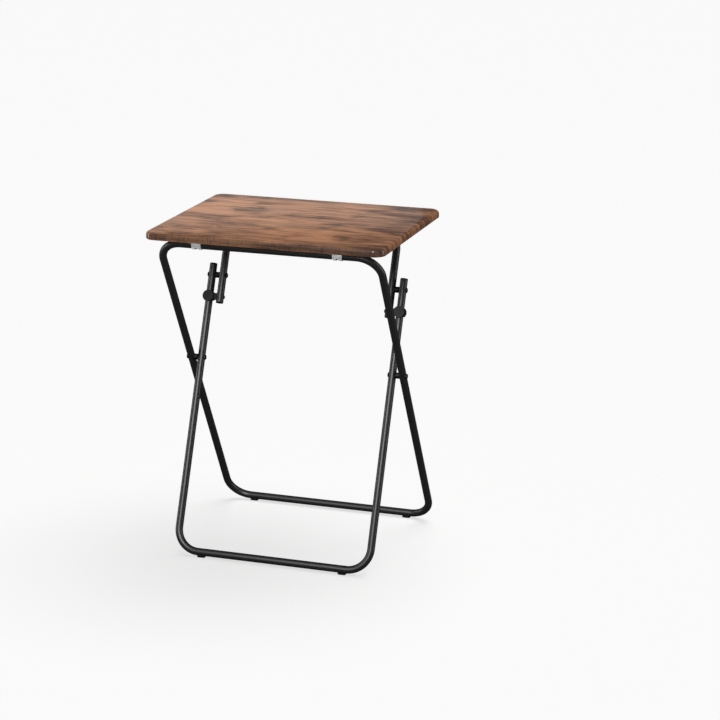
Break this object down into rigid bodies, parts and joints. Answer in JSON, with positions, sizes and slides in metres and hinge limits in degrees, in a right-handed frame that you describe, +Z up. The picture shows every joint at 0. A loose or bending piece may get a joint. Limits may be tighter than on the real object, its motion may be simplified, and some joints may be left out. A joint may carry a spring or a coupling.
{
  "type": "folding tray table",
  "caption": "Folding tray table: a rounded wood-grain board on crossed black tube frames, with a rear support that clips to the inner frame and folds flat.",
  "frame": {"origin": "on the floor, below the middle of the table's width and depth", "axes": "+X along the board's long side, +Y to its rear edge, +Z up"},
  "size_m": [0.48, 0.3934, 0.66],
  "materials": {
    "black_powder_coat": "gloss powder coat",
    "zinc_plate": "bright zinc plate",
    "black_rivet": "black, semi-gloss",
    "plain_steel": "plain drawn",
    "fibreboard": "raw sanded board",
    "wood_grain_film": "printed grain, satin",
    "underside_film": "printed grain, matt",
    "black_plastic": "moulded, slightly glossy"
  },
  "bodies": {
    "outer_frame": {"cross_left_rivet": "black_rivet", "cross_left_spacer": "black_plastic", "cross_right_rivet": "black_rivet", "cross_right_spacer": "black_plastic", "outer_frame_sleeve": "plain_steel", "outer_frame_tube": "black_powder_coat", "rear_left_foot": "black_plastic", "rear_right_foot": "black_plastic"},
    "tabletop": {"front_left_saddle": "zinc_plate", "front_right_saddle": "zinc_plate", "front_saddle_screws": "zinc_plate", "rear_left_saddle": "zinc_plate", "rear_right_saddle": "zinc_plate", "rear_saddle_screws": "zinc_plate", "tabletop_core": "fibreboard", "tabletop_film": "wood_grain_film", "underside_sheet": "underside_film"},
    "rear_support": {"arm_left_plug": "black_plastic", "arm_left_spacer": "black_plastic", "arm_right_plug": "black_plastic", "arm_right_spacer": "black_plastic", "lock_left_clip": "black_plastic", "lock_left_rivet": "black_rivet", "lock_right_clip": "black_plastic", "lock_right_rivet": "black_rivet", "rear_support_tube": "black_powder_coat"},
    "inner_frame": {"arm_left_rivet": "black_rivet", "arm_right_rivet": "black_rivet", "cross_left_rivet_tail": "black_rivet", "cross_right_rivet_tail": "black_rivet", "front_left_foot": "black_plastic", "front_right_foot": "black_plastic", "inner_frame_tube": "black_powder_coat", "inner_leg_left_plug": "black_plastic", "inner_leg_right_plug": "black_plastic"}
  },
  "joints": [
    {"name": "tabletop_fold", "type": "hinge", "parent": "outer_frame", "child": "tabletop", "pos_m": [0, -0.16167, 0.6345], "axis": [1, 0, 0], "range_deg": [-60.67, 0]},
    {"name": "support_fold", "type": "hinge", "parent": "tabletop", "child": "rear_support", "pos_m": [0, 0.10133, 0.6345], "axis": [1, 0, 0], "range_deg": [-67.34, 0]},
    {"name": "leg_fold", "type": "hinge", "parent": "rear_support", "child": "inner_frame", "pos_m": [0, 0.05393, 0.521], "axis": [1, 0, 0], "range_deg": [0, 180]}
  ],
  "couplings": [
    {"joint": "support_fold", "follows": "tabletop_fold", "ratio": 1.1098},
    {"joint": "leg_fold", "follows": "tabletop_fold", "ratio": -2.9668}
  ]
}
